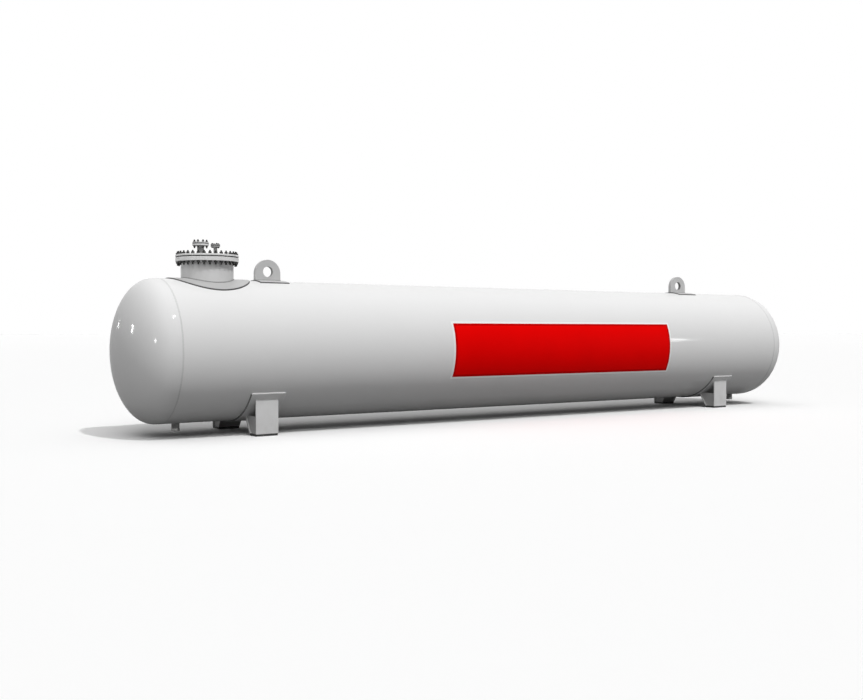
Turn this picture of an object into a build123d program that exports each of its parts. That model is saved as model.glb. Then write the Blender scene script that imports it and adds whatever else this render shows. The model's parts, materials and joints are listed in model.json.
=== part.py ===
from build123d import *
import math
import os

# Sizes are in millimetres. The tank lies along X, the manhole end is at -X,
# the front is -Y, and the floor is Z = 0 below the middle of the tank.

# Vessel
tank_diameter = 1600
shell_length = 9575
shell_wall = 12
ground_clearance = 141
head_wall = 12
head_skirt = 50
head_ratio = 2
seam_bead_width = 18
seam_bead_height = 2.5

# Reinforcing plates rolled onto the shell
pad_thickness = 12
manhole_pad_margin = 173
lug_pad_margin = 15
lug_pad_width = 440
saddle_wrap_margin = 66
saddle_wrap_half_angle = 54.4

# Manhole
manhole_from_seam = 588
neck_diameter = 584
neck_wall = 12
flange_width = 58
neck_standout = 197
flange_thickness = 50
flange_edge = 4
raised_face_height = 2
gasket_thickness = 3
cover_thickness = 25
cover_bolt_inset = 25
cover_bolt_count = 32
cover_bolt_hole = 22
gasket_bolt_gap = 3

# Nozzles on the manhole cover
large_nozzle_offset = -78
large_nozzle_standout = 104
large_pipe_diameter = 76
large_pipe_wall = 6
large_flange_width = 52
large_flange_thickness = 24
large_blind_thickness = 14
large_bolt_inset = 17.5
large_bolt_count = 8
large_stud_diameter = 16
large_stud_reach = 26
large_nut_across = 24
large_nut_height = 14
small_nozzle_offset = 98
small_nozzle_standout = 98
small_pipe_diameter = 42
small_pipe_wall = 4
small_flange_width = 31.5
small_flange_thickness = 16
small_blind_thickness = 12
small_bolt_inset = 15
small_bolt_count = 4
small_stud_diameter = 12
small_stud_reach = 13
small_nut_across = 18
small_nut_height = 10
nozzle_gasket_thickness = 2
hub_swell = 5
hub_height = 16
stud_hole_clearance = 1

# Lifting lugs
lug_from_seam = 1325
lug_width = 320
lug_thickness = 45
lug_standout = 92
lug_eye_rise = 20
lug_eye_diameter = 124

# Saddle legs
saddle_from_seam = 1032
leg_width = 270
leg_depth = 175
leg_plate = 15
leg_web_plate = 12
leg_web_inset = 15
leg_face_angle = 48.91
leg_web_angle = 26.93
leg_back_angle = 23.59
foot_pad_thickness = 25
foot_pad_inset = 4

# Drain stubs under the shell
drain_pipe_diameter = 89
drain_pipe_wall = 6
drain_standout = 55
drain_cap_lip = 2.5
drain_cap_height = 30
drain_cap_edge = 4
left_drain_from_seam = 207
right_drain_from_seam = 85

tank_radius = tank_diameter / 2
shell_bore_radius = tank_radius - shell_wall
pad_radius = tank_radius + pad_thickness
left_seam = -shell_length / 2
right_seam = shell_length / 2
axis_height = ground_clearance + tank_radius
tank_top = axis_height + tank_radius
manhole_x = left_seam + manhole_from_seam
flange_bottom = tank_top + neck_standout
gasket_bottom = flange_bottom + flange_thickness
cover_bottom = gasket_bottom + gasket_thickness
cover_top = cover_bottom + cover_thickness
flange_diameter = neck_diameter + 2 * flange_width
cover_bolt_circle = flange_diameter - 2 * cover_bolt_inset
raised_face_radius = (cover_bolt_circle - cover_bolt_hole) / 2 - gasket_bolt_gap
large_flange_diameter = large_pipe_diameter + 2 * large_flange_width
large_bolt_circle = large_flange_diameter - 2 * large_bolt_inset
small_flange_diameter = small_pipe_diameter + 2 * small_flange_width
small_bolt_circle = small_flange_diameter - 2 * small_bolt_inset
drain_cap_diameter = drain_pipe_diameter + 2 * drain_cap_lip


def tank_bar(radius, length):
    return Pos(0, 0, axis_height) * Rot(0, 90, 0) * Cylinder(radius, length)


def upright_bar(diameter, x, bottom, top):
    return Pos(x, 0, (bottom + top) / 2) * Cylinder(diameter / 2, top - bottom)


def make_shell():
    shell = tank_bar(tank_radius, shell_length)
    shell -= tank_bar(shell_bore_radius, shell_length)
    shell -= upright_bar(neck_diameter, manhole_x, axis_height, flange_bottom)
    for drain_x in (left_seam + left_drain_from_seam, right_seam - right_drain_from_seam):
        shell -= upright_bar(drain_pipe_diameter, drain_x, 0, axis_height)
    return shell


# A semi-ellipsoidal dish with a straight skirt, revolved about the tank axis
def make_head(seam, side):
    depth = tank_radius / head_ratio
    bore = tank_radius - head_wall
    crown = (head_skirt + depth, 0)
    outer = Line((0, tank_radius), (head_skirt, tank_radius))
    outer += EllipticalCenterArc((head_skirt, 0), depth, tank_radius, arc_size=90)
    inner = Line((0, bore), (head_skirt, bore))
    inner += EllipticalCenterArc((head_skirt, 0), depth - head_wall, bore, arc_size=90)
    ends = Line((0, bore), (0, tank_radius))
    ends += Line((head_skirt + depth - head_wall, 0), crown)
    profile = make_face(outer + inner + ends)
    dish = revolve(Plane.XZ * profile, Axis.X)
    if side < 0:
        dish = mirror(dish, Plane.YZ)
    return Pos(seam, 0, axis_height) * dish


# The cap of a girth weld, standing proud of the plates it joins
def make_seam_weld(seam):
    half = seam_bead_width / 2
    foot = Line((-half, tank_radius), (half, tank_radius))
    crown = (0, tank_radius + seam_bead_height)
    cap = ThreePointArc((-half, tank_radius), crown, (half, tank_radius))
    return Pos(seam, 0, axis_height) * revolve(Plane.XZ * make_face(foot + cap), Axis.X)


# A plate rolled to the shell, centred on the top of the tank
def rolled_plate(length, half_angle):
    section = Pos(0, tank_radius + pad_thickness / 2) * Rectangle(length, pad_thickness)
    plate = revolve(Plane.XZ * section, Axis.X, revolution_arc=2 * half_angle)
    return Rot(-half_angle, 0, 0) * plate


def make_lug_pad(x):
    half_angle = math.degrees(lug_pad_width / 2 / pad_radius)
    return Pos(x, 0, axis_height) * rolled_plate(lug_width + 2 * lug_pad_margin, half_angle)


def make_saddle_wrap(x):
    length = leg_width + 2 * saddle_wrap_margin
    wrap = rolled_plate(length, saddle_wrap_half_angle)
    return Pos(x, 0, axis_height) * Rot(180, 0, 0) * wrap


# A round plate rolled to the shell, so its outline draws in across the tank
def make_manhole_pad():
    reach = neck_diameter / 2 + manhole_pad_margin
    steps = 24
    outline = []
    for step in range(steps):
        turn = 2 * math.pi * step / steps
        along = reach * math.cos(turn)
        across = pad_radius * math.sin(reach * math.sin(turn) / pad_radius)
        outline.append((along, across))
    disc = make_face(Spline(*outline, periodic=True))
    column = Pos(manhole_x, 0, axis_height) * extrude(disc, pad_radius)
    pad = tank_bar(pad_radius, shell_length) - tank_bar(tank_radius, shell_length)
    pad = pad & column
    return pad - upright_bar(neck_diameter, manhole_x, axis_height, cover_top)


# The neck runs through the pad and the shell, flush with the shell's bore
def make_manhole_neck():
    neck = upright_bar(neck_diameter, manhole_x, axis_height, flange_bottom)
    bore = neck_diameter - 2 * neck_wall
    neck -= upright_bar(bore, manhole_x, axis_height, flange_bottom)
    return neck - tank_bar(shell_bore_radius, shell_length)


def bolt_holes(circle, count, hole):
    return PolarLocations(circle / 2, count, 180 / count) * Circle(hole / 2)


def outer_rims(part, diameter):
    return part.edges().filter_by(GeomType.CIRCLE).filter_by(
        lambda edge: abs(edge.radius - diameter / 2) < 0.01
    )


# The flange and the cover meet at a raised face inside the bolts, with the gasket between
def make_manhole_flange():
    ring = Circle(flange_diameter / 2) - Circle(neck_diameter / 2 - neck_wall)
    ring -= bolt_holes(cover_bolt_circle, cover_bolt_count, cover_bolt_hole)
    flange = extrude(ring, flange_thickness - raised_face_height)
    flange = chamfer(outer_rims(flange, flange_diameter), flange_edge)
    face = Circle(raised_face_radius) - Circle(neck_diameter / 2 - neck_wall)
    flange += extrude(face, flange_thickness)
    return Pos(manhole_x, 0, flange_bottom) * flange


def make_manhole_gasket():
    ring = Circle(raised_face_radius) - Circle(neck_diameter / 2 - neck_wall)
    return Pos(manhole_x, 0, gasket_bottom) * extrude(ring, gasket_thickness)


def make_manhole_cover():
    disc = Circle(flange_diameter / 2)
    disc -= bolt_holes(cover_bolt_circle, cover_bolt_count, cover_bolt_hole)
    cover = extrude(disc, cover_thickness - raised_face_height)
    cover = chamfer(outer_rims(cover, flange_diameter), flange_edge)
    cover = Pos(0, 0, raised_face_height) * cover
    cover += extrude(Circle(raised_face_radius), cover_thickness)
    large_bore = Circle(large_pipe_diameter / 2 - large_pipe_wall)
    small_bore = Circle(small_pipe_diameter / 2 - small_pipe_wall)
    cover -= Pos(large_nozzle_offset, 0) * extrude(large_bore, cover_thickness)
    cover -= Pos(small_nozzle_offset, 0) * extrude(small_bore, cover_thickness)
    return Pos(manhole_x, 0, cover_bottom) * cover


# A pipe with a hub that swells into its flange, on top of the manhole cover
def make_nozzle_neck(x, pipe, wall, flange, thickness, bottom, circle, count, stud):
    profile = Polyline(
        (pipe / 2 - wall, cover_top),
        (pipe / 2, cover_top),
        (pipe / 2, bottom - hub_height),
        (pipe / 2 + hub_swell, bottom),
        (flange / 2, bottom),
        (flange / 2, bottom + thickness),
        (pipe / 2 - wall, bottom + thickness),
        close=True,
    )
    neck = revolve(Plane.XZ * make_face(profile), Axis.Z)
    hole = upright_bar(stud + 2 * stud_hole_clearance, 0, bottom, bottom + thickness)
    neck -= [place * hole for place in PolarLocations(circle / 2, count)]
    return Pos(x, 0, 0) * neck


def make_nozzle_gasket(x, pipe, wall, bottom, circle, stud):
    outer = circle / 2 - stud / 2 - stud_hole_clearance
    ring = Circle(outer) - Circle(pipe / 2 - wall)
    return Pos(x, 0, bottom) * extrude(ring, nozzle_gasket_thickness)


def make_nozzle_blind(x, flange, thickness, bottom, circle, count, stud):
    disc = Circle(flange / 2)
    disc -= PolarLocations(circle / 2, count) * Circle(stud / 2 + stud_hole_clearance)
    return Pos(x, 0, bottom) * extrude(disc, thickness)


# Stud bolts with a nut on each side of the flange pair
def make_nozzle_studs(x, bottom, top, circle, count, stud, reach, nut_across, nut_height):
    rod = extrude(Circle(stud / 2), top - bottom + 2 * reach)
    hexagon = RegularPolygon(nut_across / 2, 6, major_radius=False)
    nut = extrude(hexagon, nut_height)
    bolt = Pos(0, 0, bottom - reach) * rod
    bolt += Pos(0, 0, bottom - nut_height) * nut
    bolt += Pos(0, 0, top) * nut
    places = PolarLocations(circle / 2, count)
    return Compound(children=[Pos(x, 0, 0) * place * bolt for place in places])


# An upright plate with a rounded head and an eye, seated on its curved pad
def make_lug(x):
    round_height = tank_top + lug_standout
    body_height = round_height - axis_height
    outline = Pos(0, -body_height / 2) * Rectangle(lug_width, body_height)
    outline += Circle(lug_width / 2)
    outline -= Pos(0, lug_eye_rise) * Circle(lug_eye_diameter / 2)
    plate = extrude(Plane.XZ * outline, lug_thickness / 2, both=True)
    return Pos(x, 0, round_height) * plate - tank_bar(pad_radius, shell_length)


# Where a line at this angle from straight down meets the saddle wrap
def wrap_point(angle):
    across = pad_radius * math.sin(math.radians(angle))
    return across, axis_height - pad_radius * math.cos(math.radians(angle))


# The leg's back plate leans inwards from the floor up to the wrap
leg_spread = wrap_point(leg_face_angle)[0]
leg_web_top = wrap_point(leg_web_angle)[1]
leg_back_across, leg_back_top = wrap_point(leg_back_angle)
leg_back_foot = leg_spread - leg_depth
back_lean = (leg_back_foot - leg_back_across) / (leg_back_top - foot_pad_thickness)
back_plate_width = leg_plate * math.sqrt(1 + back_lean**2)


def back_face(height):
    return leg_back_foot - back_lean * (height - foot_pad_thickness)


def make_leg_face(x, side):
    height = axis_height - foot_pad_thickness
    plate = Box(leg_width, leg_plate, height)
    plate = Pos(x, side * (leg_spread - leg_plate / 2), foot_pad_thickness + height / 2) * plate
    return plate - tank_bar(pad_radius, shell_length)


def make_leg_back(x, side):
    top = leg_back_top + leg_depth
    outline = Polyline(
        (side * back_face(foot_pad_thickness), foot_pad_thickness),
        (side * (back_face(foot_pad_thickness) + back_plate_width), foot_pad_thickness),
        (side * (back_face(top) + back_plate_width), top),
        (side * back_face(top), top),
        close=True,
    )
    plate = extrude(Plane.YZ * make_face(outline), leg_width / 2, both=True)
    return Pos(x, 0, 0) * plate - tank_bar(pad_radius, shell_length)


def make_leg_webs(x, side):
    outer = leg_spread - leg_plate
    outline = Polyline(
        (side * outer, foot_pad_thickness),
        (side * outer, leg_web_top),
        (side * (back_face(leg_web_top) + back_plate_width), leg_web_top),
        (side * (back_face(foot_pad_thickness) + back_plate_width), foot_pad_thickness),
        close=True,
    )
    web = extrude(Plane.YZ * make_face(outline), leg_web_plate / 2, both=True)
    web -= tank_bar(pad_radius, shell_length)
    reach = leg_width / 2 - leg_web_inset - leg_web_plate / 2
    return Compound(children=[Pos(x - reach, 0, 0) * web, Pos(x + reach, 0, 0) * web])


def make_leg_foot(x, side):
    depth = leg_depth - 2 * foot_pad_inset
    middle = leg_spread - leg_depth / 2
    pad = Box(leg_width - 2 * foot_pad_inset, depth, foot_pad_thickness)
    return Pos(x, side * middle, foot_pad_thickness / 2) * pad


drain_end = ground_clearance - drain_standout


# A drain stub runs through the shell's underside, flush with its bore
def make_drain_pipe(x):
    pipe = upright_bar(drain_pipe_diameter, x, drain_end, axis_height)
    bore = drain_pipe_diameter - 2 * drain_pipe_wall
    pipe -= upright_bar(bore, x, drain_end, axis_height)
    return pipe - tank_bar(shell_bore_radius, shell_length)


def make_drain_cap(x):
    cap = Cylinder(drain_cap_diameter / 2, drain_cap_height)
    cap = fillet(outer_rims(cap, drain_cap_diameter), drain_cap_edge)
    return Pos(x, 0, drain_end - drain_cap_height / 2) * cap


large_flange_bottom = cover_top + large_nozzle_standout
large_joint = large_flange_bottom + large_flange_thickness
large_blind_bottom = large_joint + nozzle_gasket_thickness
large_x = manhole_x + large_nozzle_offset
small_flange_bottom = cover_top + small_nozzle_standout
small_joint = small_flange_bottom + small_flange_thickness
small_blind_bottom = small_joint + nozzle_gasket_thickness
small_x = manhole_x + small_nozzle_offset

nodes = {
    "shell": make_shell(),
    "left_head": make_head(left_seam, -1),
    "right_head": make_head(right_seam, 1),
    "left_seam_weld": make_seam_weld(left_seam),
    "right_seam_weld": make_seam_weld(right_seam),
    "manhole_pad": make_manhole_pad(),
    "manhole_neck": make_manhole_neck(),
    "manhole_flange": make_manhole_flange(),
    "manhole_gasket": make_manhole_gasket(),
    "manhole_cover": make_manhole_cover(),
    "large_nozzle_neck": make_nozzle_neck(
        large_x,
        large_pipe_diameter,
        large_pipe_wall,
        large_flange_diameter,
        large_flange_thickness,
        large_flange_bottom,
        large_bolt_circle,
        large_bolt_count,
        large_stud_diameter,
    ),
    "large_nozzle_gasket": make_nozzle_gasket(
        large_x,
        large_pipe_diameter,
        large_pipe_wall,
        large_joint,
        large_bolt_circle,
        large_stud_diameter,
    ),
    "large_nozzle_blind": make_nozzle_blind(
        large_x,
        large_flange_diameter,
        large_blind_thickness,
        large_blind_bottom,
        large_bolt_circle,
        large_bolt_count,
        large_stud_diameter,
    ),
    "large_nozzle_studs": make_nozzle_studs(
        large_x,
        large_flange_bottom,
        large_blind_bottom + large_blind_thickness,
        large_bolt_circle,
        large_bolt_count,
        large_stud_diameter,
        large_stud_reach,
        large_nut_across,
        large_nut_height,
    ),
    "small_nozzle_neck": make_nozzle_neck(
        small_x,
        small_pipe_diameter,
        small_pipe_wall,
        small_flange_diameter,
        small_flange_thickness,
        small_flange_bottom,
        small_bolt_circle,
        small_bolt_count,
        small_stud_diameter,
    ),
    "small_nozzle_gasket": make_nozzle_gasket(
        small_x,
        small_pipe_diameter,
        small_pipe_wall,
        small_joint,
        small_bolt_circle,
        small_stud_diameter,
    ),
    "small_nozzle_blind": make_nozzle_blind(
        small_x,
        small_flange_diameter,
        small_blind_thickness,
        small_blind_bottom,
        small_bolt_circle,
        small_bolt_count,
        small_stud_diameter,
    ),
    "small_nozzle_studs": make_nozzle_studs(
        small_x,
        small_flange_bottom,
        small_blind_bottom + small_blind_thickness,
        small_bolt_circle,
        small_bolt_count,
        small_stud_diameter,
        small_stud_reach,
        small_nut_across,
        small_nut_height,
    ),
}

for end, seam, side in (("left", left_seam, 1), ("right", right_seam, -1)):
    nodes[end + "_lug_pad"] = make_lug_pad(seam + side * lug_from_seam)
    nodes[end + "_lug"] = make_lug(seam + side * lug_from_seam)
    saddle_x = seam + side * saddle_from_seam
    nodes[end + "_saddle_wrap"] = make_saddle_wrap(saddle_x)
    for face, across in (("front", -1), ("rear", 1)):
        leg = end + "_" + face + "_leg"
        nodes[leg + "_face"] = make_leg_face(saddle_x, across)
        nodes[leg + "_webs"] = make_leg_webs(saddle_x, across)
        nodes[leg + "_back"] = make_leg_back(saddle_x, across)
        nodes[leg + "_foot"] = make_leg_foot(saddle_x, across)

nodes["left_drain_pipe"] = make_drain_pipe(left_seam + left_drain_from_seam)
nodes["left_drain_cap"] = make_drain_cap(left_seam + left_drain_from_seam)
nodes["right_drain_pipe"] = make_drain_pipe(right_seam - right_drain_from_seam)
nodes["right_drain_cap"] = make_drain_cap(right_seam - right_drain_from_seam)

os.makedirs("parts", exist_ok=True)
for name, shape in nodes.items():
    export_step(shape, "parts/" + name + ".step")
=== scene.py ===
import json
import math

import bmesh
import bpy
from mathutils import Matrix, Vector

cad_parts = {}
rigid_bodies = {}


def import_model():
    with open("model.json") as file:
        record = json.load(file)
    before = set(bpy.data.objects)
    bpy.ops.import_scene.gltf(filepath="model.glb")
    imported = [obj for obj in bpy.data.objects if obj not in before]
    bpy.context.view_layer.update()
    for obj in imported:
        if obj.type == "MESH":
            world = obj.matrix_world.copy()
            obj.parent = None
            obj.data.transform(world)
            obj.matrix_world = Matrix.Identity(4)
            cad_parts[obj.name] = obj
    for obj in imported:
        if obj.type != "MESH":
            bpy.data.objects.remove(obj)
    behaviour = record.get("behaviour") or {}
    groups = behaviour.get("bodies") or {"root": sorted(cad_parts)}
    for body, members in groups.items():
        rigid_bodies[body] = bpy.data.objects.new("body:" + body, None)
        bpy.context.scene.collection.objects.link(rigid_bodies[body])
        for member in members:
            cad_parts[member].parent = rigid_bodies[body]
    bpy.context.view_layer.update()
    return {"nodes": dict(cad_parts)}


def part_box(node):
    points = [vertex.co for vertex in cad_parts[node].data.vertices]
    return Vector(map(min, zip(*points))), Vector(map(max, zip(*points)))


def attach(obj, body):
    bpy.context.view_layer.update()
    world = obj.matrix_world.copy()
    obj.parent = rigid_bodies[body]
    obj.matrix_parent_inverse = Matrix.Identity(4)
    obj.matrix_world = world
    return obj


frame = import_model()
print("tank loaded:", len(frame["nodes"]), "parts")


def boxOf(node):  # lowest corner, highest corner and centre
    low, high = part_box(node)
    return low, high, (low + high) / 2


# the sizes that everything else is worked out from
shellLow, shellHigh, shellCentre = boxOf("shell")
neckLow, neckHigh, neckCentre = boxOf("manhole_neck")
coverLow, coverHigh, coverCentre = boxOf("manhole_cover")
flangeLow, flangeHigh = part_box("manhole_flange")
axisHeight = shellCentre.z
tankRadius = (shellHigh.z - shellLow.z) / 2
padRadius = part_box("manhole_pad")[1].z - axisHeight
neckRadius = (neckHigh.x - neckLow.x) / 2


# small helpers

def cleanStart():
    if bpy.context.object and bpy.context.object.mode != "OBJECT":
        bpy.ops.object.mode_set(mode="OBJECT")
    bpy.ops.object.select_all(action="DESELECT")


def takeMaterial(piece, finish):
    piece.data.materials.clear()
    piece.data.materials.append(finish)


def addNode(tree, kind, place, **settings):
    node = tree.nodes.new(kind)
    node.location = place
    for key, value in settings.items():
        setattr(node, key, value)
    return node


def mathNode(tree, operation, first, second=None, third=None, place=(0, 0), clamp=False):
    node = addNode(tree, "ShaderNodeMath", place, operation=operation, use_clamp=clamp)
    for socket, value in zip(node.inputs, (first, second, third)):
        if value is None:
            continue
        if isinstance(value, (int, float)):
            socket.default_value = value
        else:
            tree.links.new(value, socket)
    return node.outputs[0]


def mixColour(tree, factor, first, second, place=(0, 0)):
    node = addNode(tree, "ShaderNodeMix", place, data_type="RGBA")
    for socket, value in ((node.inputs[0], factor), (node.inputs[6], first), (node.inputs[7], second)):
        if isinstance(value, (int, float)):
            socket.default_value = value
        elif isinstance(value, (tuple, list)):
            socket.default_value = (*value, 1)
        else:
            tree.links.new(value, socket)
    return node.outputs[2]


def rangeNode(tree, value, low, high, outLow, outHigh, place=(0, 0), smooth=True):
    node = addNode(tree, "ShaderNodeMapRange", place, clamp=True)
    node.interpolation_type = "SMOOTHSTEP" if smooth else "LINEAR"
    tree.links.new(value, node.inputs["Value"])
    for name, number in (("From Min", low), ("From Max", high), ("To Min", outLow), ("To Max", outHigh)):
        node.inputs[name].default_value = number
    return node.outputs["Result"]


def splitVector(tree, vector, place):
    node = addNode(tree, "ShaderNodeSeparateXYZ", place)
    tree.links.new(vector, node.inputs[0])
    return node.outputs


# shader groups that several finishes share

def newGroup(name, inputs, outputs):
    group = bpy.data.node_groups.new(name, "ShaderNodeTree")
    for label, kind, value in inputs:
        socket = group.interface.new_socket(label, in_out="INPUT", socket_type=kind)
        if value is not None:
            socket.default_value = value
    for label, kind in outputs:
        group.interface.new_socket(label, in_out="OUTPUT", socket_type=kind)
    enter = addNode(group, "NodeGroupInput", (-900, 0))
    leave = addNode(group, "NodeGroupOutput", (700, 0))
    return group, enter, leave


sprayLook = {"grain": 260.0, "wave": 1.4, "peelDetail": 2, "peelRoughness": 0.45, "waveDetail": 3}


def makeSprayGroup():  # the fine orange peel of sprayed paint, with slow waves of the plate below it
    group, enter, leave = newGroup(
        "sprayedPaint",
        [
            ("Vector", "NodeSocketVector", None),
            ("Grain", "NodeSocketFloat", sprayLook["grain"]),
            ("Wave", "NodeSocketFloat", sprayLook["wave"]),
        ],
        [("Height", "NodeSocketFloat"), ("Cloud", "NodeSocketFloat")],
    )
    peel = addNode(group, "ShaderNodeTexNoise", (-500, 200))
    peel.inputs["Detail"].default_value = sprayLook["peelDetail"]
    peel.inputs["Roughness"].default_value = sprayLook["peelRoughness"]
    group.links.new(enter.outputs["Vector"], peel.inputs["Vector"])
    group.links.new(enter.outputs["Grain"], peel.inputs["Scale"])
    wave = addNode(group, "ShaderNodeTexNoise", (-500, -120))
    wave.inputs["Detail"].default_value = sprayLook["waveDetail"]
    group.links.new(enter.outputs["Vector"], wave.inputs["Vector"])
    group.links.new(enter.outputs["Wave"], wave.inputs["Scale"])
    group.links.new(peel.outputs[0], leave.inputs["Height"])
    group.links.new(wave.outputs[0], leave.inputs["Cloud"])
    return group


dustLook = {
    "low": 0.5,
    "flat": 0.3,
    "upTo": 0.45,  # metres above the floor
    "flatFrom": 0.75,
    "speckScale": 14,
    "speckDetail": 6,
    "speckRange": (0.35, 0.7),
    "thinnest": 0.15,
}


def makeDustGroup():  # road dust: low on the sides and on faces that look up
    group, enter, leave = newGroup(
        "restingDust",
        [
            ("Vector", "NodeSocketVector", None),
            ("Low", "NodeSocketFloat", dustLook["low"]),
            ("Flat", "NodeSocketFloat", dustLook["flat"]),
        ],
        [("Mask", "NodeSocketFloat")],
    )
    height = splitVector(group, enter.outputs["Vector"], (-700, 240))["Z"]
    surface = addNode(group, "ShaderNodeNewGeometry", (-900, -260))
    upward = splitVector(group, surface.outputs["Normal"], (-700, -260))["Z"]
    low = rangeNode(group, height, 0.0, dustLook["upTo"], 1.0, 0.0, (-500, 240))
    low = mathNode(group, "MULTIPLY", low, enter.outputs["Low"], place=(-320, 240))
    flat = rangeNode(group, upward, dustLook["flatFrom"], 1.0, 0.0, 1.0, (-500, -200))
    flat = mathNode(group, "MULTIPLY", flat, enter.outputs["Flat"], place=(-320, -200))
    speck = addNode(group, "ShaderNodeTexNoise", (-500, 20))
    speck.inputs["Scale"].default_value = dustLook["speckScale"]
    speck.inputs["Detail"].default_value = dustLook["speckDetail"]
    group.links.new(enter.outputs["Vector"], speck.inputs["Vector"])
    patchy = rangeNode(
        group, speck.outputs[0], *dustLook["speckRange"], dustLook["thinnest"], 1.0, (-320, 20)
    )
    both = mathNode(group, "MAXIMUM", low, flat, place=(-120, 0))
    group.links.new(mathNode(group, "MULTIPLY", both, patchy, place=(60, 0)), leave.inputs["Mask"])
    return group


def useGroup(material, group, place, **values):
    tree = material.node_tree
    node = addNode(tree, "ShaderNodeGroup", place)
    node.node_tree = group
    node.name = group.name
    coordinates = tree.nodes.get("Texture Coordinate") or addNode(tree, "ShaderNodeTexCoord", (-1500, 0))
    tree.links.new(coordinates.outputs["Object"], node.inputs["Vector"])
    for key, value in values.items():
        node.inputs[key].default_value = value
    return node


def useSpray(material, **values):
    return useGroup(material, sprayedPaint, (-1200, 100), **values)


def useDust(material, look):
    return useGroup(material, restingDust, (-1200, -200), Low=look["dustLow"], Flat=look["dustFlat"])


def placeOnTank(tree, place):  # X, Y and Z on the tank, for a finish that already has a group
    return splitVector(tree, tree.nodes["Texture Coordinate"].outputs["Object"], place)


def startMaterial(name, roughness, **settings):
    material = bpy.data.materials.new(name)
    material.use_nodes = True
    shader = material.node_tree.nodes["Principled BSDF"]
    shader.inputs["Roughness"].default_value = roughness
    for key, value in settings.items():
        shader.inputs[key.replace("_", " ")].default_value = value
    return material, material.node_tree, shader


def addBump(tree, shader, height, look):
    bump = addNode(tree, "ShaderNodeBump", (-250, -400))
    bump.inputs["Distance"].default_value = look["bumpDepth"]
    bump.inputs["Strength"].default_value = look["bumpStrength"]
    tree.links.new(height, bump.inputs["Height"])
    tree.links.new(bump.outputs[0], shader.inputs["Normal"])


sprayedPaint = makeSprayGroup()
restingDust = makeDustGroup()
print("shader groups ready")


# the white of the shell, the heads and the saddle wraps

whiteCoat = {
    "white": (0.835, 0.835, 0.835),
    "shadeWhite": (0.825, 0.825, 0.825),
    "dust": (0.50, 0.48, 0.45),
    "dustLow": 0.12,
    "dustFlat": 0.06,
    "dustRoughness": 0.4,
    "cloudRange": (0.2, 0.8),
    "roughness": 0.26,
    "coat": 0.28,
    "coatRoughness": 0.10,
    "bumpDepth": 0.00010,
    "bumpStrength": 0.1,
}


def makeWhitePaint():
    look = whiteCoat
    material, tree, shader = startMaterial(
        "whitePaint", look["roughness"],
        Coat_Weight=look["coat"], Coat_Roughness=look["coatRoughness"], Specular_IOR_Level=0.0,
    )
    spray = useSpray(material)
    dust = useDust(material, look)
    cloud = rangeNode(tree, spray.outputs["Cloud"], *look["cloudRange"], 0.0, 1.0, (-950, 100))
    colour = mixColour(tree, cloud, look["white"], look["shadeWhite"], (-700, 300))
    colour = mixColour(tree, dust.outputs["Mask"], colour, look["dust"], (-150, 400))
    tree.links.new(colour, shader.inputs["Base Color"])
    rough = mathNode(
        tree, "MULTIPLY_ADD", dust.outputs["Mask"], look["dustRoughness"], look["roughness"],
        place=(-300, -50), clamp=True,
    )
    tree.links.new(rough, shader.inputs["Roughness"])
    addBump(tree, shader, spray.outputs["Height"], look)
    return material


seamCoat = {
    "white": (0.795, 0.795, 0.795),
    # painted shade in the troughs of the weld ripples
    "troughShade": (0.60, 0.60, 0.60),
    "roughness": 0.6,
    "ripples": 720,  # waves in one turn about the tank
    "rippleShare": 0.35,
    "troughShadeRange": (0.2, 0.7),
    "bumpDepth": 0.0004,
    "bumpStrength": 0.6,
}


def makeSeamPaint():  # the girth welds: paint over the ripples of the weld cap, with painted shade in the ripples' troughs
    look = seamCoat
    material, tree, shader = startMaterial("seamPaint", look["roughness"], Specular_IOR_Level=0.0)
    spray = useSpray(material)
    spot = placeOnTank(tree, (-1300, 700))
    rise = mathNode(tree, "SUBTRACT", spot["Z"], axisHeight, place=(-1150, 700))
    around = mathNode(tree, "ARCTAN2", spot["Y"], rise, place=(-1000, 700))
    ripple = mathNode(tree, "MULTIPLY", around, look["ripples"], place=(-850, 700))
    ripple = mathNode(tree, "SINE", ripple, place=(-700, 700))
    height = mathNode(
        tree, "MULTIPLY_ADD", ripple, look["rippleShare"], spray.outputs["Height"], (-550, 600)
    )
    crest = rangeNode(tree, height, *look["troughShadeRange"], 0.0, 1.0, (-400, 500))
    colour = mixColour(tree, crest, look["troughShade"], look["white"], (-250, 400))
    tree.links.new(colour, shader.inputs["Base Color"])
    addBump(tree, shader, height, look)
    return material


# the grey paints of the manhole, the lugs and the legs

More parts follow.
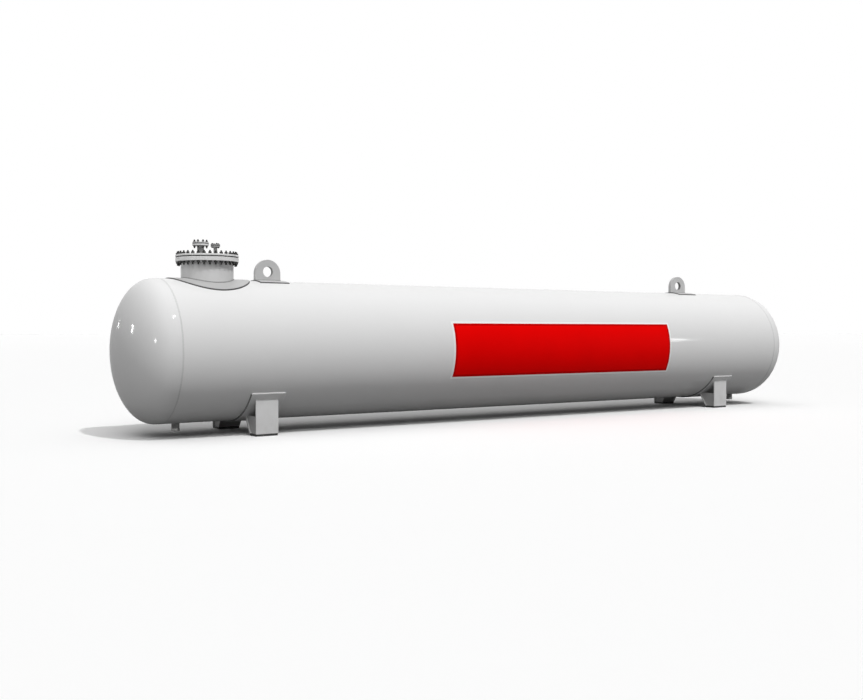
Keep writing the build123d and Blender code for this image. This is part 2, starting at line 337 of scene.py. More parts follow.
greyTones = {  # colour and roughness
    "plate": ((0.76, 0.76, 0.76), 0.50),
    # web and back are darker than plate: painted shade, for the legs' inner plates that sit in shade
    # under the tank
    "web": ((0.56, 0.56, 0.56), 0.50),
    "back": ((0.69, 0.69, 0.69), 0.50),
    "pad": ((0.535, 0.535, 0.535), 0.42),
    "neck": ((0.765, 0.765, 0.765), 0.40),
    "flange": ((0.87, 0.87, 0.87), 0.40),
    "lid": ((0.78, 0.78, 0.78), 0.40),
    "nozzle": ((0.34, 0.34, 0.34), 0.45),
    "smallNozzle": ((0.42, 0.42, 0.42), 0.45),
    "lug": ((0.60, 0.60, 0.60), 0.45),
}
greyCoat = {
    # painted shade for the wall of the lug's eye
    "eye": (0.25, 0.25, 0.25),
    # painted shade for faces that look down, under the flanges
    "under": (0.07, 0.07, 0.07),
    # painted shade for the gap of a bolted joint
    "jointShade": (0.10, 0.10, 0.10),
    "dust": (0.42, 0.40, 0.37),
    "shadeShare": 0.95,
    "dustLow": 0.15,
    "dustFlat": 0.10,
    "grain": 340.0,
    "wave": 5.0,
    "cloudRange": (0.3, 0.7),
    "smoother": 0.05,
    "rougher": 0.07,
    "specular": 0.25,
    "underRange": (-0.95, -0.6),  # how far down a face looks: -1 is straight down
    "soft": 0.0005,  # how soft the edges of the marks below are
    "jointReach": 0.0055,  # half the height of the painted shade line at a bolted joint
    "nozzleLip": 0.0235,  # from the top of the large nozzle's neck down to the underside of its flange
    "eyeRise": 0.020,  # from the centre of the lug's round head up to the centre of its eye
    "eyeRadius": 0.062,
    "bumpDepth": 0.00018,
    "bumpStrength": 0.4,
}


def eyeShadeMask(tree, eye):  # painted shade on the wall of the lug's eye
    spot = placeOnTank(tree, (-1300, 900))
    aside = mathNode(tree, "SUBTRACT", spot["X"], eye["x"], place=(-1150, 950))
    above = mathNode(tree, "SUBTRACT", spot["Z"], eye["z"], place=(-1150, 800))
    square = mathNode(tree, "MULTIPLY", aside, aside, place=(-1000, 950))
    square = mathNode(tree, "MULTIPLY_ADD", above, above, square, (-850, 900))
    reach = mathNode(tree, "SQRT", square, place=(-700, 900))
    wall, soft = greyCoat["eyeRadius"], greyCoat["soft"]
    return rangeNode(tree, reach, wall + soft, wall + 3 * soft, 1.0, 0.0, (-550, 900))


def undersideMask(tree):  # painted shade on faces that look straight down
    surface = addNode(tree, "ShaderNodeNewGeometry", (-1300, -700))
    upward = splitVector(tree, surface.outputs["Normal"], (-1150, -700))["Z"]
    return rangeNode(tree, upward, *greyCoat["underRange"], 1.0, 0.0, (-1000, -700))


def aboveMask(tree, height):
    spot = placeOnTank(tree, (-1300, 1200))
    return rangeNode(tree, spot["Z"], height - greyCoat["soft"], height, 0.0, 1.0, (-1100, 1200))


def jointShadeMask(tree, height):  # painted shade along the two edges of a bolted joint, for the shaded gap between its flanges
    spot = placeOnTank(tree, (-1300, 1500))
    above = mathNode(tree, "SUBTRACT", spot["Z"], height, place=(-1150, 1500))
    away = mathNode(tree, "ABSOLUTE", above, place=(-1000, 1500))
    reach, soft = greyCoat["jointReach"], greyCoat["soft"]
    return rangeNode(tree, away, reach - soft, reach + soft, 1.0, 0.0, (-850, 1500))


def makeGreyPaint(tone, name=None, eye=None, lidFrom=None, jointShade=None, shadedBelow=False):
    look = greyCoat
    base, roughness = greyTones[tone]
    material, tree, shader = startMaterial(
        name or tone + "Paint", roughness, Specular_IOR_Level=look["specular"]
    )
    spray = useSpray(material, Grain=look["grain"], Wave=look["wave"])
    dust = useDust(material, look)
    darker = tuple(channel * look["shadeShare"] for channel in base)
    cloud = rangeNode(tree, spray.outputs["Cloud"], *look["cloudRange"], 0.0, 1.0, (-950, 100))
    colour = mixColour(tree, cloud, base, darker, (-700, 300))
    colour = mixColour(tree, dust.outputs["Mask"], colour, look["dust"], (-400, 300))
    # painted shade inside the lug's eye
    if eye:
        colour = mixColour(tree, eyeShadeMask(tree, eye), colour, look["eye"], (-250, 500))
    if lidFrom:
        colour = mixColour(tree, aboveMask(tree, lidFrom), colour, greyTones["lid"][0], (-250, 700))
    # painted shade along the gap of a bolted joint
    if jointShade:
        colour = mixColour(tree, jointShadeMask(tree, jointShade), colour, look["jointShade"], (-250, 900))
    # painted shade on the undersides, which lie in shade below the flanges
    if shadedBelow:
        colour = mixColour(tree, undersideMask(tree), colour, look["under"], (-150, 300))
    tree.links.new(colour, shader.inputs["Base Color"])
    smooth, rough = roughness - look["smoother"], roughness + look["rougher"]
    sheen = rangeNode(tree, spray.outputs["Cloud"], *look["cloudRange"], smooth, rough, (-500, 0))
    tree.links.new(sheen, shader.inputs["Roughness"])
    addBump(tree, shader, spray.outputs["Height"], look)
    return material


def makeLugPaint(side):
    low, high, centre = boxOf(side + "_lug")
    headCentre = high.z - (high.x - low.x) / 2
    eye = {"x": centre.x, "z": headCentre + greyCoat["eyeRise"]}
    return makeGreyPaint("lug", side + "LugPaint", eye=eye)


# bare steel, the caps of the drains, packing and bedding

steelLook = {
    "bright": (0.050, 0.050, 0.048),
    "dull": (0.022, 0.021, 0.020),
    "metal": 0.3,
    "stainRange": (0.35, 0.65),
    "roughness": 0.5,
    "sheenRange": (0.3, 0.7, 0.42, 0.66),  # of the clouds, and the roughness that they give
    "grain": 900.0,
    "wave": 45.0,
    "bumpDepth": 0.0001,
    "bumpStrength": 0.4,
}
silverLook = {
    "bright": (0.34, 0.34, 0.33),
    "dull": (0.26, 0.26, 0.255),
    "metal": 0.75,
    "stainRange": (0.35, 0.65),
    "roughness": 0.34,
    "grain": 500.0,
    "wave": 30.0,
    "bumpDepth": 0.0001,
    "bumpStrength": 0.3,
}
packingLook = {
    "base": (0.03, 0.03, 0.03),
    "fleckRange": (0.45, 0.7),
    "fleckShare": 1.7,
    "roughness": 0.8,
    "grain": 500.0,
    "bumpDepth": 0.0004,
    "bumpStrength": 0.5,
}
beddingLook = {
    "base": (0.045, 0.045, 0.045),
    "fleckRange": (0.45, 0.7),
    "fleckShare": 1.7,
    "roughness": 0.85,
    "grain": 220.0,
    "bumpDepth": 0.0004,
    "bumpStrength": 0.5,
}


def makeMetal(name, look):
    material, tree, shader = startMaterial(name, look["roughness"], Metallic=look["metal"])
    spray = useSpray(material, Grain=look["grain"], Wave=look["wave"])
    stain = rangeNode(tree, spray.outputs["Cloud"], *look["stainRange"], 0.0, 1.0, (-950, 100))
    colour = mixColour(tree, stain, look["bright"], look["dull"], (-600, 300))
    tree.links.new(colour, shader.inputs["Base Color"])
    if "sheenRange" in look:
        sheen = rangeNode(tree, spray.outputs["Cloud"], *look["sheenRange"], (-500, 0))
        tree.links.new(sheen, shader.inputs["Roughness"])
    addBump(tree, shader, spray.outputs["Height"], look)
    return material


def makeDarkSheet(name, look):  # packing sheet and the feet's bedding strip
    material, tree, shader = startMaterial(name, look["roughness"])
    spray = useSpray(material, Grain=look["grain"])
    lighter = tuple(channel * look["fleckShare"] for channel in look["base"])
    fleck = rangeNode(tree, spray.outputs["Height"], *look["fleckRange"], 0.0, 1.0, (-950, 250))
    colour = mixColour(tree, fleck, look["base"], lighter, (-600, 300))
    tree.links.new(colour, shader.inputs["Base Color"])
    addBump(tree, shader, spray.outputs["Height"], look)
    return material


whitePaint = makeWhitePaint()
seamPaint = makeSeamPaint()
platePaint = makeGreyPaint("plate")
# painted shade: the legs' webs and back plates get darker copies of the plate paint
shadedWebPaint = makeGreyPaint("web")
shadedBackPaint = makeGreyPaint("back")
padPaint = makeGreyPaint("pad")
neckPaint = makeGreyPaint("neck")
coverJoint = (flangeHigh.z + coverLow.z) / 2
largeJoint = boxOf("large_nozzle_gasket")[2].z
smallJoint = boxOf("small_nozzle_gasket")[2].z
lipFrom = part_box("large_nozzle_neck")[1].z - greyCoat["nozzleLip"]
flangePaint = makeGreyPaint("flange", jointShade=coverJoint, shadedBelow=True)
nozzlePaint = makeGreyPaint("nozzle", lidFrom=lipFrom, jointShade=largeJoint, shadedBelow=True)
lidPaint = makeGreyPaint("lid", jointShade=largeJoint, shadedBelow=True)
smallNozzlePaint = makeGreyPaint("smallNozzle", jointShade=smallJoint, shadedBelow=True)
lugPaints = {side: makeLugPaint(side) for side in ("left", "right")}
studSteel = makeMetal("studSteel", steelLook)
silverPaint = makeMetal("silverPaint", silverLook)
packingSheet = makeDarkSheet("packingSheet", packingLook)
beddingStrip = makeDarkSheet("beddingStrip", beddingLook)


def finishOf(name):
    if name == "shell" or name.endswith(("_head", "_wrap")):
        return whitePaint
    if name.endswith("_lug"):
        return lugPaints[name.split("_")[0]]
    if name in ("manhole_flange", "manhole_cover"):
        return flangePaint
    if name in ("small_nozzle_neck", "small_nozzle_blind"):
        return smallNozzlePaint
    if name == "manhole_neck":
        return neckPaint
    if name == "large_nozzle_neck":
        return nozzlePaint
    if name == "large_nozzle_blind":
        return lidPaint
    for ending, finish in (
        ("_seam_weld", seamPaint),
        ("_studs", studSteel),
        ("_gasket", packingSheet),
        ("_foot", beddingStrip),
        ("_pad", padPaint),
        ("_webs", shadedWebPaint),
        ("_back", shadedBackPaint),
        ("_drain_cap", silverPaint),
    ):
        if name.endswith(ending):
            return finish
    return platePaint


for nodeName, part in frame["nodes"].items():
    takeMaterial(part, finishOf(nodeName))
print("finishes on all parts")


# the bolts of the manhole: modelled once at the right end of the circle, then copied round it

manholeBolt = {
    "count": 32,
    "circle": 0.325,
    "centreX": coverCentre.x,
    "studRadius": 0.0095,
    "studSides": 20,
    "threadPitch": 0.0025,
    "threadDepth": 0.0013,
    "bottomTip": flangeLow.z - 0.043,
    "flangeFace": flangeLow.z,
    "coverFace": coverHigh.z,
    "topTip": coverHigh.z + 0.037,
    "nutAcross": 0.034,
    "nutHeight": 0.018,
    "nutEdge": 0.0022,
    "nutTurn": 23,  # degrees from one nut to the next
    "washerRadius": 0.0195,
    "washerHeight": 0.003,
    "washerSides": 28,
    "washerEdge": 0.0005,
    "smooth": math.radians(35),
}


def growRing(height, scale, centre):  # extrudes the selected ring upwards and scales it
    bpy.ops.mesh.extrude_region_move(TRANSFORM_OT_translate={"value": (0, 0, height)})
    if scale != 1:
        bpy.ops.transform.resize(value=(scale, scale, 1), center_override=centre)


def closeMesh():
    bpy.ops.mesh.select_all(action="SELECT")
    bpy.ops.mesh.normals_make_consistent(inside=False)
    bpy.ops.object.mode_set(mode="OBJECT")


def makeStud(size):
    radius, depth, half = size["studRadius"], size["threadDepth"], size["threadPitch"] / 2
    root = (radius - depth) / radius
    nutReach = size["nutHeight"] + size["washerHeight"]
    x, y = size["centreX"] + size["circle"], 0
    cleanStart()
    bpy.ops.mesh.primitive_circle_add(
        vertices=size["studSides"], radius=radius - depth, fill_type="NGON",
        location=(x, y, size["bottomTip"]),
    )
    stud = bpy.context.object
    stud.name = "manholeStud"
    bpy.ops.object.transform_apply(location=True)
    bpy.ops.object.mode_set(mode="EDIT")
    bpy.ops.mesh.select_all(action="SELECT")
    height = size["bottomTip"]
    centre = (x, y, 0)
    growRing(half, 1 / root, centre)
    height += half
    # threads up to the lower nut, a plain length to the top of the upper nut, threads and a blunt tip
    for plainFrom, plainTo in (
        (size["flangeFace"] - nutReach, size["coverFace"] + nutReach),
        (size["topTip"] - half, size["topTip"]),
    ):
        while height + 2 * half < plainFrom:
            growRing(half, root, centre)
            growRing(half, 1 / root, centre)
            height += 2 * half
        growRing(plainTo - height, 1 if plainTo < size["topTip"] else root, centre)
        height = plainTo
    closeMesh()
    return stud


def makeNut(size, bottom):
    corner = size["nutAcross"] / math.sqrt(3)
    cleanStart()
    bpy.ops.mesh.primitive_cylinder_add(
        vertices=6, radius=corner, depth=size["nutHeight"],
        location=(size["centreX"] + size["circle"], 0, bottom + size["nutHeight"] / 2),
    )
    nut = bpy.context.object
    bpy.ops.object.transform_apply(location=True)
    bpy.ops.object.mode_set(mode="EDIT")
    bpy.ops.mesh.select_all(action="DESELECT")
    mesh = bmesh.from_edit_mesh(nut.data)
    for face in mesh.faces:
        face.select = abs(face.normal.z) > 0.9
    bmesh.update_edit_mesh(nut.data)
    bpy.ops.mesh.bevel(offset=size["nutEdge"], segments=2, profile=0.6, affect="EDGES")
    closeMesh()
    return nut


def makeWasher(size, bottom):
    cleanStart()
    bpy.ops.mesh.primitive_cylinder_add(
        vertices=size["washerSides"], radius=size["washerRadius"], depth=size["washerHeight"],
        location=(size["centreX"] + size["circle"], 0, bottom + size["washerHeight"] / 2),
    )
    washer = bpy.context.object
    bpy.ops.object.transform_apply(location=True)
    edge = washer.modifiers.new("edge", "BEVEL")
    edge.width = size["washerEdge"]
    bpy.ops.object.modifier_apply(modifier="edge")
    return washer


def joinAll(parts, name):
    cleanStart()
    for part in parts:
        part.select_set(True)
    bpy.context.view_layer.objects.active = parts[0]
    bpy.ops.object.join()
    joined = bpy.context.object
    joined.name = name
    joined.data.name = name
    return joined


def copyBolt(first, size, index):
    cleanStart()
    first.select_set(True)
    bpy.context.view_layer.objects.active = first
    bpy.ops.object.duplicate()
    bolt = bpy.context.object
    bpy.ops.object.mode_set(mode="EDIT")
    bpy.ops.mesh.select_all(action="SELECT")
    ownTurn = math.radians(index * size["nutTurn"] % 60)
    bpy.ops.transform.rotate(
        value=ownTurn, orient_axis="Z", center_override=(size["centreX"] + size["circle"], 0, 0)
    )
    circleTurn = 2 * math.pi / size["count"] * (index + 0.5)
    bpy.ops.transform.rotate(value=circleTurn, orient_axis="Z", center_override=(size["centreX"], 0, 0))
    bpy.ops.object.mode_set(mode="OBJECT")
    return bolt


def makeManholeBolts():
    size = manholeBolt
    thick = size["washerHeight"]
    first = joinAll(
        [
            makeStud(size),
            makeNut(size, size["flangeFace"] - thick - size["nutHeight"]),
            makeNut(size, size["coverFace"] + thick),
            makeWasher(size, size["flangeFace"] - thick),
            makeWasher(size, size["coverFace"]),
        ],
        "manholeBolt_01",
    )
    takeMaterial(first, studSteel)
    bpy.ops.object.shade_smooth_by_angle(angle=size["smooth"])
    bolts = [copyBolt(first, size, index) for index in range(size["count"])]
    bpy.data.objects.remove(first)
    for index, bolt in enumerate(bolts):
        bolt.name = "manholeBolt_%02d" % (index + 1)
        bolt.data.name = bolt.name
        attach(bolt, "root")


makeManholeBolts()
print("manhole bolts in place")


# weld beads along the edges where the plates meet

weldBead = {
    "padRadius": 0.0095,
    "neckRadius": 0.009,
    "nozzleRadius": 0.004,
    "lugPadRadius": 0.011,
    "lugRadius": 0.007,
    "wrapRadius": 0.0115,
    "legRadius": 0.004,
    # painted shade for the rims of the pads
    "rimShade": (0.05, 0.05, 0.05),
    # painted shade for the wraps' left edges
    "wrap": (0.15, 0.15, 0.15),
    # painted shade for the creases at the foot of the neck and of the lugs
    "creaseShade": (0.34, 0.34, 0.34),
    "shadeShare": 0.8,
    "roughness": 0.5,
    "coat": 0.05,
    "coatRoughness": 0.3,
    "ripple": 190.0,
    "bumpDepth": 0.0008,
    "bumpStrength": 0.6,
    "merge": 0.00002,  # points of a copied plate that lie this close are one point
    "sharp": math.radians(30),
    "smooth": math.radians(40),
    "segments": 2,
    "slack": 0.0008,  # how far a point may lie from the round or the height that is asked for
    "padShare": 1.1,  # the pad's inner edge lies within this share of the neck's radius
    "topReach": 0.01,  # the neck's top edge lies no deeper than this below the flange
}


def makeBeadPaint(name, colour):
    look = weldBead
    material, tree, shader = startMaterial(
        name, look["roughness"], Coat_Weight=look["coat"], Coat_Roughness=look["coatRoughness"]
    )
    spray = useSpray(material, Grain=look["ripple"], Wave=look["ripple"] / 3)
    darker = tuple(channel * look["shadeShare"] for channel in colour)
    tone = mixColour(tree, spray.outputs["Cloud"], darker, colour, (-500, 300))
    tree.links.new(tone, shader.inputs["Base Color"])
    addBump(tree, shader, spray.outputs["Height"], look)
    return material


greyBead = makeBeadPaint("greyBead", greyTones["plate"][0])
creaseShadeBead = makeBeadPaint("creaseShadeBead", weldBead["creaseShade"])
rimShadeBead = makeBeadPaint("rimShadeBead", weldBead["rimShade"])
shadedWrapBead = makeBeadPaint("shadedWrapBead", weldBead["wrap"])
whiteBead = makeBeadPaint("whiteBead", whiteCoat["white"])


def copyOfNode(node, name):
    cleanStart()
    source = frame["nodes"][node]
    source.select_set(True)
    bpy.context.view_layer.objects.active = source
    bpy.ops.object.duplicate()
    copy = bpy.context.object
    bpy.ops.object.parent_clear(type="CLEAR_KEEP_TRANSFORM")
    bpy.ops.object.transform_apply(location=True, rotation=True, scale=True)
    copy.name = name
    copy.data.name = name
    return copy


# a round bead along the sharp edges of a plate; wanted says from the two ends of an edge if it has one
def makeBead(node, name, radius, finish, wanted):
    bead = copyOfNode(node, name)
    bpy.ops.object.mode_set(mode="EDIT")
    bpy.ops.mesh.select_all(action="SELECT")
    bpy.ops.mesh.remove_doubles(threshold=weldBead["merge"])
    bpy.ops.mesh.select_mode(type="EDGE")
    bpy.ops.mesh.select_all(action="DESELECT")
    bpy.ops.mesh.edges_select_sharp(sharpness=weldBead["sharp"])
    mesh = bmesh.from_edit_mesh(bead.data)
    for edge in mesh.edges:
        edge.select = not (edge.select and wanted(edge.verts[0].co, edge.verts[1].co))
    bmesh.update_edit_mesh(bead.data)
    bpy.ops.mesh.delete(type="EDGE")
    bpy.ops.mesh.select_mode(type="VERT")
    bpy.ops.object.mode_set(mode="OBJECT")
    bpy.ops.object.convert(target="CURVE")
    curve = bpy.context.object
    curve.data.bevel_depth = radius
    curve.data.bevel_resolution = weldBead["segments"]
    bpy.ops.object.convert(target="MESH")
    bead = bpy.context.object
    bead.name = name
    bead.data.name = name
    bpy.ops.object.shade_smooth_by_angle(angle=weldBead["smooth"])
    takeMaterial(bead, finish)
    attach(bead, "root")


def near(value, target):
    return abs(value - target) < weldBead["slack"]


def fromAxis(point):
    return math.hypot(point.y, point.z - axisHeight)


def fromNeck(point):
    return math.hypot(point.x - neckCentre.x, point.y - neckCentre.y)


# each of these gives a test on the two ends of an edge

def onRadius(radius):  # edges that lie on a round of this radius about the tank's axis
    return lambda a, b: near(fromAxis(a), radius) and near(fromAxis(b), radius)


def roundTank(radius):  # those of them that run round the tank
    lies = onRadius(radius)
    return lambda a, b: lies(a, b) and near(a.x, b.x)


def alongTank(radius):  # those of them that run along the tank
    lies = onRadius(radius)
    return lambda a, b: lies(a, b) and not near(a.x, b.x)


def onNeck(lowest):  # edges on the outside of the manhole's neck above a height
    return lambda a, b: near(fromNeck(a), neckRadius) and near(fromNeck(b), neckRadius) and a.z > lowest


def atHeight(height):
    return lambda a, b: near(a.z, height) and near(b.z, height)


onShell = onRadius(tankRadius)
onPad = onRadius(padRadius)


def makeManholeBeads():
    size = weldBead
    clearOfNeck = neckRadius * size["padShare"]
    neckTop = flangeLow.z - size["topReach"]
    # the pad's rim gets a near-black bead: painted shade where the pad's edge stands in shade
    makeBead("manhole_pad", "padRimBead", size["padRadius"], rimShadeBead,
             lambda a, b: onShell(a, b) and fromNeck(a) > clearOfNeck)
    # the neck's foot gets a darker bead: painted shade in the crease between neck and pad
    makeBead("manhole_pad", "neckFootBead", size["neckRadius"], creaseShadeBead,
             lambda a, b: onPad(a, b) and fromNeck(a) < clearOfNeck)
    makeBead("manhole_neck", "neckTopBead", size["neckRadius"], greyBead, onNeck(neckTop))
    for nozzle in ("large", "small"):
        makeBead(nozzle + "_nozzle_neck", nozzle + "NozzleBead", size["nozzleRadius"], greyBead,
                 atHeight(coverHigh.z))


def makeSideBeads(side):
    size = weldBead
    # painted shade along the rim of the lug's pad
    makeBead(side + "_lug_pad", side + "LugPadBead", size["lugPadRadius"], rimShadeBead, onShell)
    # painted shade in the crease between the lug and its pad
    makeBead(side + "_lug", side + "LugBead", size["lugRadius"], creaseShadeBead, onPad)
    wrap = side + "_saddle_wrap"
    wrapMiddle = boxOf(wrap)[2].x
    across = roundTank(tankRadius)
    # the wraps' left edges, turned away from the lamps, get a dark bead as painted shade; the right edges
    # and the ends get white ones
    makeBead(wrap, side + "WrapLeftBead", size["wrapRadius"], shadedWrapBead,
             lambda a, b: across(a, b) and a.x < wrapMiddle)
    makeBead(wrap, side + "WrapRightBead", size["wrapRadius"], whiteBead,
             lambda a, b: across(a, b) and a.x > wrapMiddle)
    makeBead(wrap, side + "WrapEndBead", size["wrapRadius"], whiteBead, alongTank(tankRadius))
    for place in ("front", "rear"):
        for plate in ("face", "webs", "back"):
            name = side + place.capitalize() + "Leg" + plate.capitalize() + "Bead"
            makeBead(side + "_" + place + "_leg_" + plate, name, size["legRadius"], greyBead, onPad)


makeManholeBeads()
makeSideBeads("left")
makeSideBeads("right")
print("weld beads in place")


# the red band on the front of the shell

frontBand = {  # a bare printed film, in metres; the turns are from the crown of the shell
    "red": (0.93, 0.0, 0.0),
    "rim": (0.60, 0.0, 0.0),
    "edge": (0.97, 0.97, 0.97),
    "shadeShare": 0.95,
    "left": -1.320,
    "right": 2.4525,
    "upper": math.radians(66.8),
    "lower": math.radians(115.6),
    "edgeWidth": 0.026,
    "rimWidth": 0.030,
    "radius": tankRadius + 0.0004,
    "film": 0.0004,
    "steps": 28,
    "roughness": 0.55,
    "specular": 0.03,
    "grain": 180.0,
    "wave": 2.0,
    "cloudRange": (0.2, 0.8),
    "bumpDepth": 0.00008,
    "bumpStrength": 0.25,
    "soft": 0.0006,
    "smooth": math.radians(30),
}


def insideBand(tree, along, around, margin, row):  # 1 where the film is this far inside the border
    size = frontBand
    soft = size["soft"]
    turn = soft / size["radius"]
    inset = margin / size["radius"]
    left, right = size["left"] + margin, size["right"] - margin
    upper, lower = size["upper"] + inset, size["lower"] - inset
    inside = rangeNode(tree, along, left - soft, left + soft, 0, 1, (-800, row + 750))
    for border in (
        rangeNode(tree, along, right - soft, right + soft, 1, 0, (-800, row + 500)),
        rangeNode(tree, around, upper - turn, upper + turn, 0, 1, (-800, row + 250)),
        rangeNode(tree, around, lower - turn, lower + turn, 1, 0, (-800, row)),
    ):
        inside = mathNode(tree, "MULTIPLY", inside, border, place=(-500, row + 350))
    return inside


def makeBandFilm():
    look = frontBand
    material, tree, shader = startMaterial(
        "bandFilm", look["roughness"], Specular_IOR_Level=look["specular"]
    )
    spray = useSpray(material, Grain=look["grain"], Wave=look["wave"])
    spot = placeOnTank(tree, (-1300, 700))
    forward = mathNode(tree, "MULTIPLY", spot["Y"], -1, place=(-1150, 800))
    rise = mathNode(tree, "SUBTRACT", spot["Z"], axisHeight, place=(-1150, 640))
    around = mathNode(tree, "ARCTAN2", forward, rise, place=(-1000, 700))
    paler = tuple(channel * look["shadeShare"] for channel in look["red"])
    cloud = rangeNode(tree, spray.outputs["Cloud"], *look["cloudRange"], 0.0, 1.0, (-950, 100))
    ink = mixColour(tree, cloud, look["red"], paler, (-500, 300))
    insideRim = insideBand(tree, spot["X"], around, look["rimWidth"], 1400)
    ink = mixColour(tree, insideRim, look["rim"], ink, (-350, 350))
    insideEdge = insideBand(tree, spot["X"], around, 0, 350)
    ink = mixColour(tree, insideEdge, look["edge"], ink, (-200, 400))
    tree.links.new(ink, shader.inputs["Base Color"])
    addBump(tree, shader, spray.outputs["Height"], look)
    return material


def makeFrontBand():
    size = frontBand
    turn = size["edgeWidth"] / size["radius"]
    upper, lower = size["upper"] - turn, size["lower"] + turn
    length = size["right"] - size["left"] + 2 * size["edgeWidth"]
    middle = (size["left"] + size["right"]) / 2
    cleanStart()
    bpy.ops.mesh.primitive_plane_add(size=1, location=(0, 0, 0))
    band = bpy.context.object
    band.name = "frontBand"
    bpy.ops.object.mode_set(mode="EDIT")
    bpy.ops.mesh.select_all(action="DESELECT")
    mesh = bmesh.from_edit_mesh(band.data)
    for point in mesh.verts:
        point.select = point.co.y < 0
    mesh.select_flush_mode()
    bmesh.update_edit_mesh(band.data)
    bpy.ops.mesh.delete(type="VERT")
    # the edge that is left, 0.5 m behind the origin, goes to the band's top and is spun down the shell
    bpy.ops.mesh.select_all(action="SELECT")
    bpy.ops.transform.resize(value=(length, 1, 1), center_override=(0, 0, 0))
    forward, rise = size["radius"] * math.sin(upper), size["radius"] * math.cos(upper)
    bpy.ops.transform.translate(value=(middle, -forward - 0.5, axisHeight + rise))
    bpy.ops.mesh.spin(steps=size["steps"], angle=upper - lower, center=(0, 0, axisHeight), axis=(1, 0, 0))
    closeMesh()
    wall = band.modifiers.new("film", "SOLIDIFY")
    wall.thickness = size["film"]
    wall.offset = 1
    bpy.ops.object.modifier_apply(modifier="film")
    bpy.ops.object.shade_smooth_by_angle(angle=size["smooth"])
    band.data.materials.append(makeBandFilm())
    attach(band, "root")
    heights = [point.co.z for point in band.data.vertices]
    print("front band from height", round(min(heights), 3), "to", round(max(heights), 3))


makeFrontBand()


# floor, sky, lamps and camera

stageSet = {
    "floorReach": 300,
    "floorRoughness": 0.9,
    "floorWhite": (0.98, 0.98, 0.98),
    "farWhite": (1.0, 1.0, 1.0),
    "farRange": (15, 120),  # metres from the origin
    "floorBounce": (0.22, 0.22, 0.22),
    "skyLevels": (0.05, 0.76),  # at the horizon and overhead
    "sunDistance": 20,
}
# turn from straight in front of the tank towards its right end, rise and width in degrees, then level
softLamps = {
    "keyLamp": (10, 57, 2, 1.24),
    "fillLamp": (-26, 44, 40, 0.98),
    "backLamp": (205, 70, 40, 0.12),
}
# small lamps that only show as glints: turn from +X, rise, distance, width, height and level
sparkLamps = [
    (137.0, 11.0, 12, 0.7, 0.85, 60),
    (106.7, 6.8, 12, 0.4, 0.5, 30),
    (-170.8, 10.1, 12, 0.9, 0.5, 110),
    (-69.6, 52.6, 12, 2.8, 0.5, 110),
    (-28.4, 5.3, 18.4, 1.6, 0.6, 40),
]
sparkTarget = (-5.0, -0.4, axisHeight + 0.17)  # on the left head
photoView = {
    "place": (-8.6964, -11.0478, axisHeight + 0.2297),
    "turn": 34.3896,
    "tilt": -1.0939,
    "focalPixels": 1032.18,
    "frameWidth": 863,
    "sensor": 36,
    "clipEnd": 1000,
}


def seenDirectly(tree, x, y):  # 1 for rays from the camera, from reflections and through glass
    path = addNode(tree, "ShaderNodeLightPath", (x, y))
    seen = mathNode(
        tree, "MAXIMUM", path.outputs["Is Camera Ray"], path.outputs["Is Glossy Ray"], place=(x + 200, y)
    )
    return mathNode(tree, "MAXIMUM", seen, path.outputs["Is Transmission Ray"], place=(x + 400, y))


def makeFloor():
    cleanStart()
    bpy.ops.mesh.primitive_plane_add(size=stageSet["floorReach"] * 2, location=(0, 0, 0))
    floor = bpy.context.object
    floor.name = "studioFloor"
    material, tree, shader = startMaterial(
        "studioFloor", stageSet["floorRoughness"], Specular_IOR_Level=0.0
    )
    seen = seenDirectly(tree, -900, 0)
    ground = addNode(tree, "ShaderNodeTexCoord", (-1100, 300))
    reach = addNode(tree, "ShaderNodeVectorMath", (-900, 300), operation="LENGTH")
    tree.links.new(ground.outputs["Object"], reach.inputs[0])
    far = rangeNode(tree, reach.outputs["Value"], *stageSet["farRange"], 0, 1, (-700, 300))
    white = mixColour(tree, far, stageSet["floorWhite"], stageSet["farWhite"], (-500, 300))
    colour = mixColour(tree, seen, stageSet["floorBounce"], white, (-300, 0))
    tree.links.new(colour, shader.inputs["Base Color"])
    floor.data.materials.append(material)


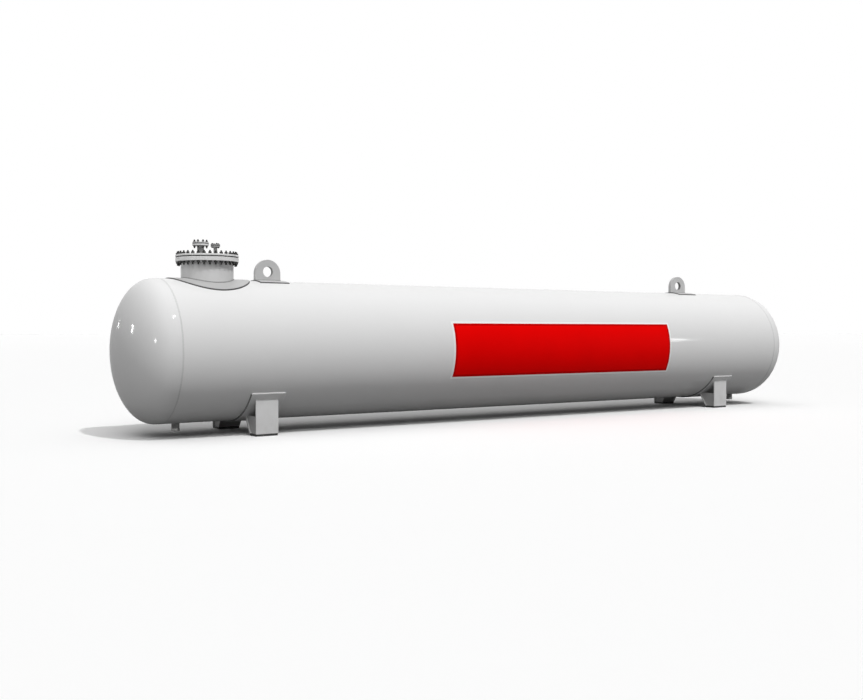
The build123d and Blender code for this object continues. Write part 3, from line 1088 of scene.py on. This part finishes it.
def makeSky():  # plain white where it is seen, and a soft light that grows towards the top
    world = bpy.data.worlds.new("studioSky")
    bpy.context.scene.world = world
    world.use_nodes = True
    tree = world.node_tree
    sky = tree.nodes["Background"]
    seen = seenDirectly(tree, -700, 0)
    direction = addNode(tree, "ShaderNodeTexCoord", (-700, -300))
    upward = splitVector(tree, direction.outputs["Generated"], (-500, -300))["Z"]
    rise = mathNode(tree, "MAXIMUM", upward, 0, place=(-350, -300))
    steep = mathNode(tree, "MULTIPLY", rise, rise, place=(-200, -300))
    level = rangeNode(tree, steep, 0, 1, *stageSet["skyLevels"], (-50, -300), smooth=False)
    strength = addNode(tree, "ShaderNodeMix", (-100, 0))
    tree.links.new(seen, strength.inputs[0])
    tree.links.new(level, strength.inputs[2])
    strength.inputs[3].default_value = 1
    tree.links.new(strength.outputs[0], sky.inputs["Strength"])
    sky.inputs["Color"].default_value = (1, 1, 1, 1)


def aimLamp(lamp, turn, rise, distance, target):  # turn is from +X towards +Y
    a, e = math.radians(turn), math.radians(rise)
    way = (math.cos(a) * math.cos(e), math.sin(a) * math.cos(e), math.sin(e))
    lamp.location = [middle + share * distance for middle, share in zip(target, way)]
    lamp.rotation_euler = (math.pi / 2 - e, 0, a + math.pi / 2)


def makeLamps():
    cleanStart()
    for name, (turn, rise, width, level) in softLamps.items():
        bpy.ops.object.light_add(type="SUN")
        sun = bpy.context.object
        sun.name = name
        sun.data.energy = level
        sun.data.angle = math.radians(width)
        sun.visible_glossy = False
        aimLamp(sun, turn - 90, rise, stageSet["sunDistance"], (0, 0, axisHeight))
    for index, (turn, rise, distance, width, height, level) in enumerate(sparkLamps):
        bpy.ops.object.light_add(type="AREA")
        spark = bpy.context.object
        spark.name = "spark_%d" % (index + 1)
        spark.data.shape = "RECTANGLE"
        spark.data.size, spark.data.size_y = width, height
        spark.data.energy = level * width * height * math.pi
        spark.visible_diffuse = False
        aimLamp(spark, turn, rise, distance, sparkTarget)


def makeCamera():
    view = photoView
    bpy.ops.object.camera_add(location=view["place"])
    camera = bpy.context.object
    camera.name = "photoCamera"
    camera.rotation_euler = (math.radians(90 + view["tilt"]), 0, math.radians(-view["turn"]))
    camera.data.sensor_fit = "HORIZONTAL"
    camera.data.sensor_width = view["sensor"]
    camera.data.lens = view["focalPixels"] * view["sensor"] / view["frameWidth"]
    camera.data.clip_end = view["clipEnd"]
    bpy.context.scene.camera = camera


makeFloor()
makeSky()
makeLamps()
makeCamera()
bpy.context.scene.view_settings.view_transform = "Standard"
print("studio ready")
